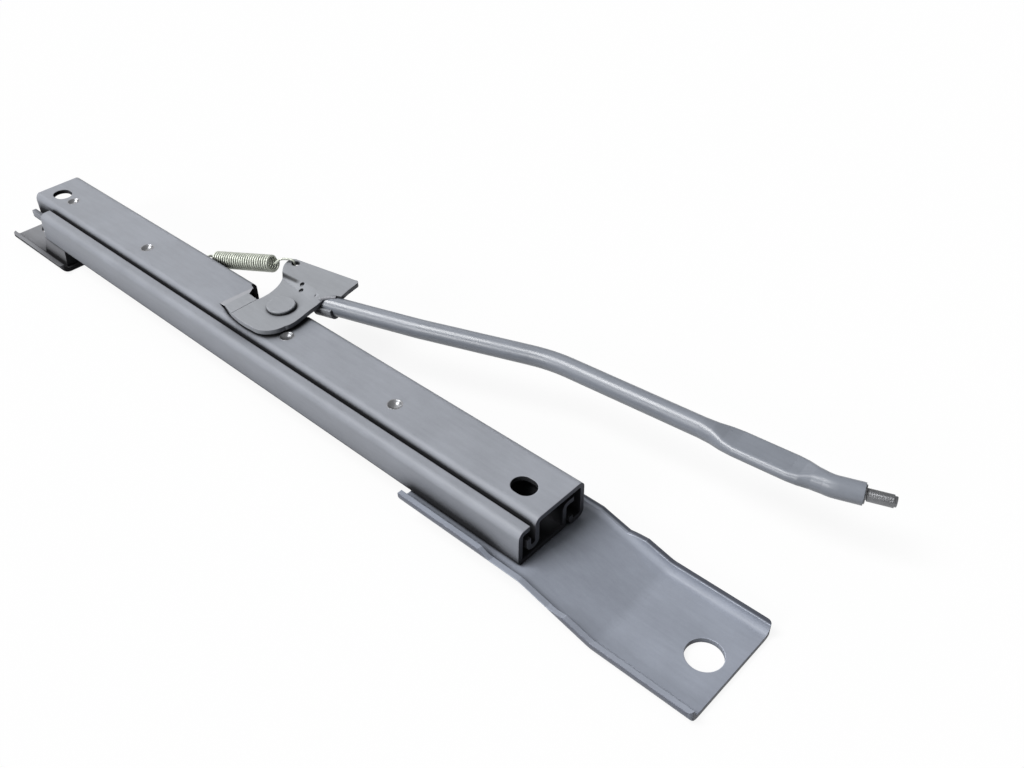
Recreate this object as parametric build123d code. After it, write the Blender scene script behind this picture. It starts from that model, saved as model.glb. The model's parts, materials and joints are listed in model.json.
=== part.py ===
from build123d import *
import os

# Seat slide rail with a release lever.
# X runs forward along the rail, Y to the lever's side, Z up. All sizes are millimetres.
# Here x starts at the rear end of the upper rail and y at the line of its seat slots.
# The last step moves every piece so that the origin is the rear floor hole's centre.

os.makedirs("parts", exist_ok=True)

# Sheet, bends and the small clearances
SHEET = 2.5
BEND = 2.3
PLAY = 0.05
RUN_GAP = 0.3

# Heights
FOOT_STEP = 9.9
ROLLER_DIA = 15.9
SEAT_Z = SHEET + FOOT_STEP
FLOOR_Z = SEAT_Z + SHEET
UPPER_UNDER = FLOOR_Z + ROLLER_DIA + 2 * PLAY
UPPER_TOP = UPPER_UNDER + SHEET

# Lower rail
LOWER_REAR = 22.5
LOWER_LENGTH = 391.0
LOWER_WIDTH = 30.0
LOWER_LEFT = -20.6
LOWER_RIGHT = LOWER_LEFT + LOWER_WIDTH
LEFT_WALL_LEAN = 0.6
LEFT_FOOT_BEND = 1.3
LEFT_LIP = 6.8
LEFT_LIP_TOP = UPPER_TOP - 2.5
RIGHT_LIP = 4.8
RIGHT_LIP_TOP = UPPER_TOP - 6.4

# Upper rail
UPPER_LENGTH = 414.6
UPPER_WIDTH = 31.5
UPPER_LEFT = -11.8
UPPER_RIGHT = UPPER_LEFT + UPPER_WIDTH
REAR_TRIM = (
    (-1.0, -22.0),
    (3.4, -22.0),
    (3.4, -14.5),
    (2.2, -11.9),
    (0.8, -9.0),
    (0.8, 16.0),
    (0.3, 22.0),
    (-1.0, 22.0),
)
LEFT_HOOK_GAP = 1.1
LEFT_HOOK_RISE = 3.7
LEFT_HOOK_LIP = 6.8
RIGHT_HOOK_GAP = 0.65
RIGHT_HOOK_RISE = 1.0
RIGHT_HOOK_LIP = 4.8

# Seat slots and roller stops in the upper rail's top
SLOT_LENGTH = 12.5
SLOT_WIDTH = 10.3
SLOT_REAR_X = 14.7
SLOT_PITCH = 383.3
STOP_XS = (28.0, 110.0, 238.0, 318.0)
STOP_DIA = 5.0
STOP_DROP = 2.2
STOP_DISH_DIA = 6.8
STOP_DISH = 1.9

# Rollers
ROLLER_LENGTH = 14.0
ROLLER_Y = -1.2
ROLLER_ROUND = 0.8

# Floor feet
FOOT_HALF = 28.5
REAR_FOOT_HALF = 26.4
FOOT_RIM = 4.5
REAR_FOOT_RIM = 3.3
FOOT_BEND = 4.5
FOOT_CORNER = 2.8
REAR_CORNER = 5.0
HOLE_DIA = 16.0
FRONT_FOOT_Y = 0.5
FRONT_FOOT_REAR = 348.0
FRONT_RAMP_START = 419.0
FRONT_RAMP_END = 456.0
FRONT_FOOT_END = 504.4
FRONT_HOLE = (491.4, 0.6)
RAMP_BEND = 14.0
RIM_DIP_XS = (397.0, 403.0, 434.0, 443.0)
LOW_RIM = 1.3
REAR_FOOT_END = -18.0
REAR_FOOT_FRONT = 44.5
REAR_HOLE = (-8.0, -2.3)
PAD_REAR = 16.0
PAD_FRONT = 42.5
PAD_WIDTH = 31.4
PAD_TAPER = 8.0

# Rivets through the lower rail and the feet
RIVET_Y = (LOWER_LEFT + LOWER_RIGHT) / 2
RIVET_DIA = 4.5
RIVET_HEAD = 7.0
RIVET_TAIL = 1.8
RIVET_EDGE = 0.8
FRONT_RIVET_XS = (358.0, 398.0)
REAR_RIVET_XS = (26.8, 34.4)

# Lever plate
LEVER_SHEET = 2.5
LEVER_GAP = 1.25
WING_STEP = 2.25
LEVER_UNDER = UPPER_TOP + LEVER_GAP
LEVER_TOP = LEVER_UNDER + LEVER_SHEET
WING_UNDER = LEVER_UNDER + WING_STEP
WING_TOP = LEVER_TOP + WING_STEP
STEP_FOOT = ((194.0, 28.98), (245.0, 22.47))
STEP_HEAD = ((194.0, 30.01), (245.0, 33.27))
WING_REAR = 180.0
LEVER_NOSE = ((223.0, -9.8), (231.4, -6.4), (234.9, 2.0))
LEVER_LEFT = (214.5, -10.2)
LEVER_FRONT = ((232.8, 24.0), (233.8, 31.4))
WING_FRONT = ((238.9, 36.0), (237.3, 42.0), (236.0, 49.2))
WING_FRONT_CORNER = ((236.0, 49.2), (234.9, 50.9), (232.8, 50.8))
WING_REAR_CORNER = ((192.9, 43.2), (191.2, 42.2), (190.3, 40.2))
LEVER_REAR = ((193.0, 34.0), (199.2, 28.0), (204.2, 19.0))
TONGUE_TIP_X = 181.0
TONGUE_DIVE_X = 191.7
TONGUE_DIVE_Z = 32.7
TONGUE_TOP_X = 205.0
TONGUE_BEND = 1.5
TONGUE_GAP = 0.25
TONGUE_LEFT = (-9.3, -5.1, -3.0)
TONGUE_RIGHT = (7.0, 10.1, 11.0)
SPRING_EYE = (195.9, 40.3)
SPRING_EYE_DIA = 4.8
SPOT_DIA = 2.6
SPOTS = ((213.8, 30.2, 38.0), (216.4, 27.2, 36.8))

# Pivot
PIVOT = (220.5, 10.9)
PIVOT_DIA = 8.0
PIVOT_HEAD = 15.0
PIVOT_HEAD_H = 2.0
PIVOT_TAIL = 10.0
PIVOT_TAIL_H = 1.6
PIVOT_ROUND = 0.6
WASHER_DIA = 12.0

# Opening in the upper rail for the lock, and the slot for the lever's tongue
NOTCH_REAR = 186.0
NOTCH_FRONT = 232.3
NOTCH_IN_Y = 11.4
NOTCH_EAR_Y = 16.6
NOTCH_EAR = (208.0, 227.5)
NOTCH_SKEW = 13.3
NOTCH_DROP = 11.4
NOTCH_CORNER = 1.8
TONGUE_SLOT = ((188.3, -5.5), (190.1, 14.9), (201.5, 14.9), (201.5, -8.5))

# Lock
RACK_PITCH = 7.5
RACK_SLOT = 4.0
RACK_DEPTH = 3.4
RACK_COUNT = 19
COMB_REAR = 203.2
COMB_TEETH = 2
COMB_TOOTH = 3.4
COMB_WEB_Y = 17.2
COMB_FLANGE = 8.0
COMB_BEND = 1.4

# Handle
TUBE_DIA = 10.0
TUBE_WALL = 1.4
TUBE_Z = UPPER_TOP
TUBE_GAP = 0.1
TUBE_ROOT = (226.0, 29.8)
TUBE_KNEES = ((283.1, 48.1), (350.8, 73.1))
TUBE_KNEE_RADII = (160.0, 80.0)
TUBE_NECK = (493.4, 85.2)
TUBE_TIP = (505.6, 89.8)
NECK_RADIUS = 16.0
PADDLE_WIDTH = 15.7
PADDLE_HEIGHT = 5.6
PADDLE_REAR = (82.5, 100.0)
PADDLE_FRONT = (140.0, 125.5)
PADDLE_EASE = ((0.0, 0.0), (0.33, 0.22), (0.67, 0.78), (1.0, 1.0))
INSERT_DIA = 8.4
INSERT_HEAD = 0.6
INSERT_LENGTH = 9.0
STUD_DIA = 5.7
STUD_SHANK = 4.0
STUD_LENGTH = 13.0
STUD_CHAMFER = 0.6
SADDLE_SHEET = 1.5
SADDLE_LENGTH = 10.5
SADDLE_START = 1.5
BEAD_DIA = 3.0
BEAD_LINE = ((231.6, 27.6), (233.4, 31.0), (237.2, 34.4))
BEAD_RADIUS = 4.0

# Return spring
SPRING_DIA = 9.8
SPRING_WIRE = 1.3
SPRING_TURNS = 17
WIRE_SIDES = 6
SPRING_REAR = (145.6, 24.9, 28.2)
SPRING_FRONT = (183.6, 34.0, 37.2)
SPRING_BEND = 1.6
HOOK_RISE = 1.8
ANCHOR = (137.4, 29.4)
ANCHOR_DIA = 4.2
ANCHOR_REACH = 4.2

MID = SHEET / 2
LONG = 2 * UPPER_LENGTH
CENTRED = (Align.CENTER, Align.CENTER, Align.MIN)


def cross_plane(x, z=0.0):
    """A plane across the rail at x, drawn in Y and Z."""
    return Plane(origin=(x, 0, z), x_dir=(0, 1, 0), z_dir=(1, 0, 0))


def folded(points, bend, x, length):
    """Folded sheet: a mid line in Y and Z, given its thickness and drawn out along X."""
    profile = trace(FilletPolyline(*points, radius=bend), SHEET)
    return extrude(cross_plane(x) * profile, amount=length)


def post(spot, z_low, z_high, dia):
    """An upright round bar between two heights."""
    return Pos(spot[0], spot[1], z_low) * Cylinder(dia / 2, z_high - z_low, align=CENTRED)


def slab(points, z_low, z_high):
    """An upright prism over a plan outline."""
    outline = make_face(Polyline(*points, close=True))
    return Pos(0, 0, z_low) * extrude(outline, amount=z_high - z_low)


def rod(points, radius, dia):
    """Round bar along straight runs joined by arcs."""
    line = FilletPolyline(*points, radius=radius)
    return sweep(Plane(origin=line @ 0, z_dir=line % 0) * Circle(dia / 2), path=line)


# Lower rail


def rack_slots():
    """Lock slots, open to the free edge of the lower rail's right lip."""
    tip = LOWER_RIGHT + RIGHT_LIP
    first = COMB_REAR + COMB_TOOTH / 2 - RACK_PITCH * (RACK_COUNT // 2)
    one = Box(RACK_SLOT, 2 * RACK_DEPTH, 2 * SHEET)
    return [Pos(first + i * RACK_PITCH, tip, RIGHT_LIP_TOP - MID) * one for i in range(RACK_COUNT)]


def rivet_body(x, extra):
    """Countersunk head and shank of a foot rivet, grown by a clearance."""
    shank_r = RIVET_DIA / 2 + extra
    head_r = RIVET_HEAD / 2 + extra
    sink = head_r - shank_r
    top = FLOOR_Z - PLAY + extra
    shank = post((x, RIVET_Y), SEAT_Z - SHEET, top, 2 * shank_r)
    return shank + Pos(x, RIVET_Y, top - sink) * Cone(shank_r, head_r, sink, align=CENTRED)


def rivet_holes(xs):
    """The countersunk holes for a pair of foot rivets."""
    return [rivet_body(x, PLAY) for x in xs]


def lower_rail():
    """Channel with an inward lip on the left and an outward, slotted lip on the right."""
    left = LOWER_LEFT + MID
    right = LOWER_RIGHT - MID
    points = [
        (LOWER_LEFT + LEFT_LIP, LEFT_LIP_TOP - MID),
        (left, LEFT_LIP_TOP - MID),
        (left - LEFT_WALL_LEAN, SEAT_Z + MID),
        (right, SEAT_Z + MID),
        (right, RIGHT_LIP_TOP - MID),
        (LOWER_RIGHT + RIGHT_LIP, RIGHT_LIP_TOP - MID),
    ]
    rail = folded(points, (BEND, LEFT_FOOT_BEND, BEND, BEND), LOWER_REAR, LOWER_LENGTH)
    return rail - (rack_slots() + rivet_holes(FRONT_RIVET_XS + REAR_RIVET_XS))


# Upper rail


def stop_metal(x):
    """A round boss pressed down out of the upper rail's top."""
    return post((x, 0), UPPER_UNDER - STOP_DROP, UPPER_TOP, STOP_DIA)


def stop_dish(x):
    """The round dish that the boss leaves in the upper face."""
    ball = (STOP_DISH_DIA**2 / 4 + STOP_DISH**2) / (2 * STOP_DISH)
    return Pos(x, 0, UPPER_TOP - STOP_DISH + ball) * Sphere(ball)


def seat_slot(x):
    """Slot for a seat bolt."""
    slot = extrude(SlotOverall(SLOT_LENGTH, SLOT_WIDTH), amount=2 * SHEET)
    return Pos(x, 0, UPPER_UNDER - MID) * slot


def lock_notch():
    """Opening for the lock: out of the top, the right bend and part of the right wall."""
    outer = UPPER_RIGHT + SHEET
    points = [
        (NOTCH_REAR, outer),
        (NOTCH_REAR, NOTCH_EAR_Y),
        (NOTCH_REAR + NOTCH_SKEW, NOTCH_IN_Y),
        (NOTCH_EAR[0] - SHEET, NOTCH_IN_Y),
        (NOTCH_EAR[0], NOTCH_EAR_Y),
        (NOTCH_EAR[1], NOTCH_EAR_Y),
        (NOTCH_EAR[1] + SHEET, NOTCH_IN_Y),
        (NOTCH_FRONT, NOTCH_IN_Y),
        (NOTCH_FRONT, outer),
    ]
    cut = slab(points, UPPER_TOP - NOTCH_DROP, LEVER_TOP)
    corner = cut.edges().filter_by(Axis.Z).sort_by_distance((NOTCH_FRONT, NOTCH_IN_Y, UPPER_TOP))[0]
    return fillet(corner, NOTCH_CORNER)


def tongue_slot():
    """Slot across the top for the lever's hold-down tongue, open to the notch."""
    return slab(TONGUE_SLOT, UPPER_UNDER - MID, LEVER_TOP)


def anchor_hole():
    """Hole for the spring's hook in the right wall."""
    bar = Cylinder(ANCHOR_DIA / 2, 2 * SHEET)
    return Pos(ANCHOR[0], UPPER_RIGHT - MID, ANCHOR[1]) * Rot(90, 0, 0) * bar


def rear_trim():
    """What the upper rail lacks at its rear end, where the sheet was cut a little askew."""
    return slab(REAR_TRIM, 0, LEVER_TOP)


def upper_rail():
    """Top plate with two walls; the foot of each wall turns up beside the lower rail."""
    left_hook = LOWER_LEFT + SHEET + LEFT_HOOK_GAP + MID
    left_floor = FLOOR_Z + LEFT_HOOK_RISE + MID
    right_hook = LOWER_RIGHT + RIGHT_HOOK_GAP + MID
    right_floor = SEAT_Z + RIGHT_HOOK_RISE + MID
    left_wall = UPPER_LEFT + MID
    right_wall = UPPER_RIGHT - MID
    points = [
        (left_hook, left_floor + LEFT_HOOK_LIP - MID),
        (left_hook, left_floor),
        (left_wall, left_floor),
        (left_wall, UPPER_TOP - MID),
        (right_wall, UPPER_TOP - MID),
        (right_wall, right_floor),
        (right_hook, right_floor),
        (right_hook, right_floor + RIGHT_HOOK_LIP - MID),
    ]
    rail = folded(points, BEND, 0, UPPER_LENGTH)
    rail += [stop_metal(x) for x in STOP_XS]
    cuts = [stop_dish(x) for x in STOP_XS]
    cuts += [seat_slot(SLOT_REAR_X), seat_slot(SLOT_REAR_X + SLOT_PITCH)]
    cuts += [lock_notch(), tongue_slot(), anchor_hole(), rear_trim()]
    cuts.append(post(PIVOT, UPPER_UNDER - MID, LEVER_TOP, PIVOT_DIA + 2 * PLAY))
    return rail - cuts


# Feet


def tray_section(half, rise):
    """Section of a foot: flat, with rounded rims turned up. Its upper face is at height 0."""
    rim = half - MID
    radius = min(FOOT_BEND, rise + MID - PLAY)
    line = FilletPolyline((-rim, rise), (-rim, -MID), (rim, -MID), (rim, rise), radius=radius)
    return trace(line, SHEET)


def foot_hole(spot):
    """Floor hole of a foot."""
    return post(spot, -SHEET, SEAT_Z, HOLE_DIA)


def corner_cuts(x, y, half, inward, radius):
    """What is taken off the two corners at one end of a foot to round them."""
    cuts = []
    for side in (-1, 1):
        corner = Pos(x, y + side * half, 0) * Box(2 * radius, 2 * radius, LONG)
        spot = (x + inward * radius, y + side * (half - radius))
        cuts.append(corner - post(spot, -LONG, LONG, 2 * radius))
    return cuts


def front_foot_path():
    """Side view of the front foot's upper face."""
    return FilletPolyline(
        (FRONT_FOOT_REAR, 0, SEAT_Z),
        (FRONT_RAMP_START, 0, SEAT_Z),
        (FRONT_RAMP_END, 0, SHEET),
        (FRONT_FOOT_END, 0, SHEET),
        radius=RAMP_BEND,
    )


def ramp_z(x):
    """Height of the ramp's upper face."""
    return SEAT_Z - FOOT_STEP * (x - FRONT_RAMP_START) / (FRONT_RAMP_END - FRONT_RAMP_START)


def rim_dip():
    """What lowers the front foot's rims where the ramp starts."""
    start, low_start, low_end, end = RIM_DIP_XS
    points = [
        (start, SEAT_Z + FOOT_RIM),
        (low_start, SEAT_Z + LOW_RIM),
        (FRONT_RAMP_START, SEAT_Z + LOW_RIM),
        (low_end, ramp_z(low_end) + LOW_RIM),
        (end, ramp_z(end) + FOOT_RIM),
        (end, UPPER_TOP),
        (start, UPPER_TOP),
    ]
    side_view = Plane(origin=(0, 2 * FOOT_HALF, 0), x_dir=(1, 0, 0), z_dir=(0, -1, 0))
    return extrude(side_view * make_face(Polyline(*points, close=True)), amount=4 * FOOT_HALF)


def front_foot():
    """Foot under the rail's front: a tray that steps down from the rail to the floor."""
    section = cross_plane(FRONT_FOOT_REAR, SEAT_Z) * Pos(FRONT_FOOT_Y, 0) * tray_section(FOOT_HALF, FOOT_RIM)
    foot = Solid.sweep(section.face(), front_foot_path())
    cuts = [foot_hole(FRONT_HOLE), rim_dip()] + rivet_holes(FRONT_RIVET_XS)
    cuts += corner_cuts(FRONT_FOOT_END, FRONT_FOOT_Y, FOOT_HALF, -1, FOOT_CORNER)
    return foot - cuts


def raised_pad(inset):
    """Block with sloping sides on the rear foot, made smaller all round by an inset."""
    base = Rectangle(PAD_FRONT - PAD_REAR - 2 * inset, PAD_WIDTH - 2 * inset)
    middle = (PAD_REAR + PAD_FRONT) / 2
    return Pos(middle, RIVET_Y, SHEET) * extrude(base, amount=FOOT_STEP, taper=PAD_TAPER)


def rear_foot():
    """Foot under the rail's rear: a tray on the floor with a raised pad that carries the rail."""
    length = REAR_FOOT_FRONT - REAR_FOOT_END
    section = cross_plane(REAR_FOOT_END, SHEET) * tray_section(REAR_FOOT_HALF, REAR_FOOT_RIM)
    foot = extrude(section, amount=length) + raised_pad(0)
    cuts = [Pos(0, 0, -SHEET) * raised_pad(SHEET), foot_hole(REAR_HOLE)] + rivet_holes(REAR_RIVET_XS)
    cuts += corner_cuts(REAR_FOOT_END, 0, REAR_FOOT_HALF, 1, REAR_CORNER)
    cuts += corner_cuts(REAR_FOOT_FRONT, 0, REAR_FOOT_HALF, -1, FOOT_CORNER)
    return foot - cuts


def foot_rivet(x):
    """Flush-headed rivet; its tail is spread under the foot."""
    under = SEAT_Z - SHEET
    tail = post((x, RIVET_Y), under - RIVET_TAIL, under, RIVET_HEAD)
    tail = chamfer(tail.edges().group_by(Axis.Z)[0], RIVET_EDGE)
    return rivet_body(x, 0) + tail


def roller(stops):
    """Steel roller lying across the rail, at rest midway between its two stops."""
    bar = Rot(90, 0, 0) * Cylinder(ROLLER_DIA / 2, ROLLER_LENGTH)
    bar = chamfer(bar.edges().filter_by(GeomType.CIRCLE), ROLLER_ROUND)
    return Pos(sum(stops) / 2, ROLLER_Y, FLOOR_Z + ROLLER_DIA / 2 + PLAY) * bar


# Lever


def lever_outline():
    """Outline of the lever plate seen from above, without its tongue."""
    left = (TONGUE_TOP_X, TONGUE_LEFT[0])
    right = (TONGUE_TOP_X, TONGUE_RIGHT[0])
    edges = [
        Spline(left, LEVER_LEFT, LEVER_NOSE[0]),
        ThreePointArc(*LEVER_NOSE),
        Spline(LEVER_NOSE[-1], *LEVER_FRONT, WING_FRONT[0]),
        Polyline(*WING_FRONT),
        ThreePointArc(*WING_FRONT_CORNER),
        Line(WING_FRONT_CORNER[-1], WING_REAR_CORNER[0]),
        ThreePointArc(*WING_REAR_CORNER),
        Spline(WING_REAR_CORNER[-1], *LEVER_REAR, right),
        Line(right, left),
    ]
    return make_face(edges)


def step_face(line, z):
    """Upright rectangle of sheet thickness over a line in plan."""
    (x0, y0), (x1, y1) = line
    top = z + LEVER_SHEET
    return Face(Wire.make_polygon([(x0, y0, z), (x1, y1, z), (x1, y1, top), (x0, y0, top)]))


def lever_blank():
    """Lever sheet before trimming: low side, sloping step and raised wing."""
    (foot_rear, foot_front), (head_rear, head_front) = STEP_FOOT, STEP_HEAD
    near = 2 * UPPER_LEFT
    far = 4 * UPPER_RIGHT
    low = [(foot_rear[0], near), (foot_front[0], near), foot_front, foot_rear]
    wing = [(WING_REAR, head_rear[1]), head_rear, head_front, (head_front[0], far), (WING_REAR, far)]
    step = loft([step_face(STEP_FOOT, LEVER_UNDER), step_face(STEP_HEAD, WING_UNDER)], ruled=True)
    return slab(low, LEVER_UNDER, LEVER_TOP) + step + slab(wing, WING_UNDER, WING_TOP)


def lever_tongue():
    """Ramp from the lever down through the upper rail's slot, with a flat tip under it."""
    half = LEVER_SHEET / 2
    tip_z = UPPER_UNDER - TONGUE_GAP - half
    points = [
        (TONGUE_TIP_X, tip_z),
        (TONGUE_DIVE_X, tip_z),
        (TONGUE_DIVE_X, TONGUE_DIVE_Z),
        (TONGUE_TOP_X, LEVER_UNDER + half),
    ]
    side_view = Plane(origin=(0, UPPER_RIGHT, 0), x_dir=(1, 0, 0), z_dir=(0, -1, 0))
    strip = trace(FilletPolyline(*points, radius=TONGUE_BEND), LEVER_SHEET)
    xs = (TONGUE_TOP_X, TONGUE_DIVE_X, TONGUE_TIP_X)
    plan = list(zip(xs, TONGUE_LEFT)) + list(zip(reversed(xs), reversed(TONGUE_RIGHT)))
    return extrude(side_view * strip, amount=2 * UPPER_RIGHT) & slab(plan, SEAT_Z, WING_TOP)


def root_plane(distance):
    """Plane across the handle tube's first run, with its second axis up."""
    run = Line((*TUBE_ROOT, TUBE_Z), (*TUBE_KNEES[0], TUBE_Z))
    ahead = run % 0
    return Plane(origin=run @ 0 + ahead * distance, x_dir=(-ahead.Y, ahead.X, 0), z_dir=ahead)


def tube_bed():
    """Room for the handle tube under the lever plate, from its hidden end forward."""
    return extrude(root_plane(-TUBE_GAP) * Circle(TUBE_DIA / 2 + TUBE_GAP), amount=3 * TUBE_DIA)


def lever_plate():
    """Pressed release lever with its hold-down tongue."""
    body = lever_blank() & extrude(lever_outline(), amount=LONG)
    cuts = [
        tube_bed(),
        post(PIVOT, LEVER_UNDER - MID, WING_TOP, PIVOT_DIA + 2 * PLAY),
        post(SPRING_EYE, LEVER_UNDER, WING_TOP + MID, SPRING_EYE_DIA),
    ]
    cuts += [post(spot, spot[2], WING_TOP + MID, SPOT_DIA) for spot in SPOTS]
    return body + lever_tongue() - cuts


def pivot_rivet():
    """Rivet that the lever turns on: wide head above, spread tail under the upper rail's top."""
    tail_low = UPPER_UNDER - PIVOT_TAIL_H
    head_low = LEVER_TOP + PLAY
    head_high = head_low + PIVOT_HEAD_H
    head = post(PIVOT, head_low, head_high, PIVOT_HEAD)
    head = fillet(head.edges().group_by(Axis.Z)[-1], PIVOT_ROUND)
    return post(PIVOT, tail_low, UPPER_UNDER, PIVOT_TAIL) + post(PIVOT, tail_low, head_low, PIVOT_DIA) + head


def pivot_washer():
    """Spacer between the upper rail and the lever."""
    ring = post(PIVOT, UPPER_TOP, LEVER_UNDER - PLAY, WASHER_DIA)
    return ring - post(PIVOT, UPPER_UNDER, LEVER_TOP, PIVOT_DIA + 2 * PLAY)


def lock_comb():
    """Angle under the lever whose fingers face the rack slots."""
    length = RACK_PITCH * (COMB_TEETH - 1) + COMB_TOOTH + RACK_SLOT
    finger_z = RIGHT_LIP_TOP - MID
    flange_z = LEVER_UNDER - MID
    web_y = COMB_WEB_Y + MID
    tip_y = LOWER_RIGHT + RIGHT_LIP + RUN_GAP
    points = [(tip_y, finger_z), (web_y, finger_z), (web_y, flange_z), (web_y + COMB_FLANGE, flange_z)]
    comb = folded(points, COMB_BEND, COMB_REAR, length)
    space = RACK_PITCH - COMB_TOOTH
    cut = Box(space, 2 * RACK_DEPTH, 2 * SHEET, align=(Align.MIN, Align.CENTER, Align.CENTER))
    rear = COMB_REAR + COMB_TOOTH
    return comb - [Pos(rear + i * RACK_PITCH, tip_y, finger_z) * cut for i in range(COMB_TEETH)]


# Handle


def run_point(distance):
    """Point on the handle's long straight run, at a distance from the second knee."""
    run = Line((*TUBE_KNEES[1], TUBE_Z), (*TUBE_NECK, TUBE_Z))
    return run @ 0 + (run % 0) * distance


def run_section(distance, width, height):
    """Rounded rectangle across the long run, its corners as round as they can be."""
    ahead = (run_point(1) - run_point(0)).normalized()
    plane = Plane(origin=run_point(distance), x_dir=(-ahead.Y, ahead.X, 0), z_dir=ahead)
    return plane * RectangleRounded(width, height, min(width, height) / 2 - PLAY)


def flattened(start, end, inset):
    """Sections from the round tube at start to the flat grip at end, eased in and out."""
    sections = []
    for share, press in PADDLE_EASE:
        width = TUBE_DIA + (PADDLE_WIDTH - TUBE_DIA) * press - 2 * inset
        height = TUBE_DIA + (PADDLE_HEIGHT - TUBE_DIA) * press - 2 * inset
        sections.append(run_section(start + (end - start) * share, width, height))
    return sections


def handle_form(inset):
    """The whole handle as a solid, made thinner by an inset."""
    dia = TUBE_DIA - 2 * inset
    arm = [(*TUBE_ROOT, TUBE_Z), (*TUBE_KNEES[0], TUBE_Z), (*TUBE_KNEES[1], TUBE_Z), run_point(PADDLE_REAR[0])]
    neck = [run_point(PADDLE_FRONT[0]), (*TUBE_NECK, TUBE_Z), (*TUBE_TIP, TUBE_Z)]
    grip = loft(flattened(*PADDLE_REAR, inset) + flattened(*PADDLE_FRONT, inset)[::-1], ruled=True)
    return rod(arm, TUBE_KNEE_RADII, dia) + grip + rod(neck, NECK_RADIUS, dia)


def handle_tube():
    """Bent tube, pressed flat near its end to make a grip."""
    return handle_form(0) - handle_form(TUBE_WALL)


def tip_bar(start, end, dia):
    """Round bar along the handle's end, between two distances from the open end."""
    run = Line((*TUBE_NECK, TUBE_Z), (*TUBE_TIP, TUBE_Z))
    plane = Plane(origin=run @ 1, z_dir=run % 1)
    return plane * Pos(0, 0, start) * Cylinder(dia / 2, end - start, align=CENTRED)


def handle_insert():
    """Plug with a collar in the tube's open end."""
    plug = tip_bar(-INSERT_LENGTH, 0, TUBE_DIA - 2 * TUBE_WALL - 2 * PLAY)
    collar = tip_bar(0, INSERT_HEAD, INSERT_DIA)
    return plug + collar - tip_bar(-INSERT_LENGTH, INSERT_HEAD, STUD_SHANK + 2 * PLAY)


def handle_stud():
    """Stud for a knob, with a thinner shank in the insert."""
    bar = tip_bar(INSERT_HEAD, INSERT_HEAD + STUD_LENGTH, STUD_DIA)
    end = bar.edges().filter_by(GeomType.CIRCLE).sort_by(Axis.X)[-1]
    return chamfer(end, STUD_CHAMFER) + tip_bar(-INSERT_LENGTH, INSERT_HEAD, STUD_SHANK)


def tube_saddle():
    """Sheet cup that holds the tube's root under the lever plate."""
    inner = TUBE_DIA / 2 + TUBE_GAP
    outer = inner + SADDLE_SHEET
    left_top = LEVER_UNDER - PLAY - TUBE_Z
    right_top = WING_UNDER - PLAY - TUBE_Z
    legs = [(-outer, 0), (outer, 0), (outer, right_top), (0, right_top), (0, left_top), (-outer, left_top)]
    cup = Circle(outer) - Pos(0, outer) * Rectangle(2 * outer, 2 * outer)
    section = cup + make_face(Polyline(*legs, close=True)) - Circle(inner)
    return extrude(root_plane(SADDLE_START) * section, amount=SADDLE_LENGTH)


def saddle_weld():
    """Weld bead over the tube along the front edge of the lever plate."""
    points = [(x, y, WING_TOP - MID) for x, y in BEAD_LINE]
    return rod(points, BEAD_RADIUS, BEAD_DIA) - [lever_plate(), tube_bed()]


# Return spring


def return_spring():
    """Close-wound spring with a hook at each end."""
    rear = Vector(*SPRING_REAR)
    front = Vector(*SPRING_FRONT)
    frame = Plane(origin=rear, z_dir=front - rear)
    height = (front - rear).length
    coil = Helix(pitch=height / SPRING_TURNS, height=height, radius=(SPRING_DIA - SPRING_WIRE) / 2)
    section = Plane(origin=coil @ 0, z_dir=coil % 0) * RegularPolygon(SPRING_WIRE / 2, WIRE_SIDES)
    turns = frame * sweep(section, path=coil, is_frenet=True)
    wall_x = ANCHOR[0] + (ANCHOR_DIA - SPRING_WIRE) / 2 - RUN_GAP
    rear_hook = [
        frame.from_local_coords(coil @ 0),
        rear,
        Vector(wall_x, rear.Y, ANCHOR[1]),
        Vector(wall_x, UPPER_RIGHT - ANCHOR_REACH, ANCHOR[1]),
    ]
    eye_x = SPRING_EYE[0] - (SPRING_EYE_DIA - SPRING_WIRE) / 2 + RUN_GAP
    peak = WING_TOP + HOOK_RISE
    front_hook = [
        frame.from_local_coords(coil @ 1),
        front,
        Vector(front.X + 2 * SPRING_BEND, front.Y + SPRING_BEND, peak),
        Vector(eye_x, SPRING_EYE[1], peak),
        Vector(eye_x, SPRING_EYE[1], WING_UNDER - MID),
    ]
    return turns + rod(rear_hook, SPRING_BEND, SPRING_WIRE) + rod(front_hook, SPRING_BEND, SPRING_WIRE)


PIECES = {
    "lower_rail": lower_rail(),
    "front_bracket": front_foot(),
    "rear_bracket": rear_foot(),
    "front_bracket_rear_rivet": foot_rivet(FRONT_RIVET_XS[0]),
    "front_bracket_front_rivet": foot_rivet(FRONT_RIVET_XS[1]),
    "rear_bracket_rear_rivet": foot_rivet(REAR_RIVET_XS[0]),
    "rear_bracket_front_rivet": foot_rivet(REAR_RIVET_XS[1]),
    "upper_rail": upper_rail(),
    "rear_roller": roller(STOP_XS[:2]),
    "front_roller": roller(STOP_XS[2:]),
    "lever_plate": lever_plate(),
    "pivot_rivet": pivot_rivet(),
    "pivot_washer": pivot_washer(),
    "lock_comb": lock_comb(),
    "tube_saddle": tube_saddle(),
    "saddle_weld": saddle_weld(),
    "handle_tube": handle_tube(),
    "handle_insert": handle_insert(),
    "handle_stud": handle_stud(),
    "return_spring": return_spring(),
}

for name, piece in PIECES.items():
    export_step(Pos(-REAR_HOLE[0], -REAR_HOLE[1], 0) * piece, f"parts/{name}.step")
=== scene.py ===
import json
import math

import bpy
from bpy.props import FloatProperty, FloatVectorProperty, IntProperty, PointerProperty
from bpy.types import Operator, Panel, PropertyGroup
from mathutils import Matrix, Vector


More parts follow.
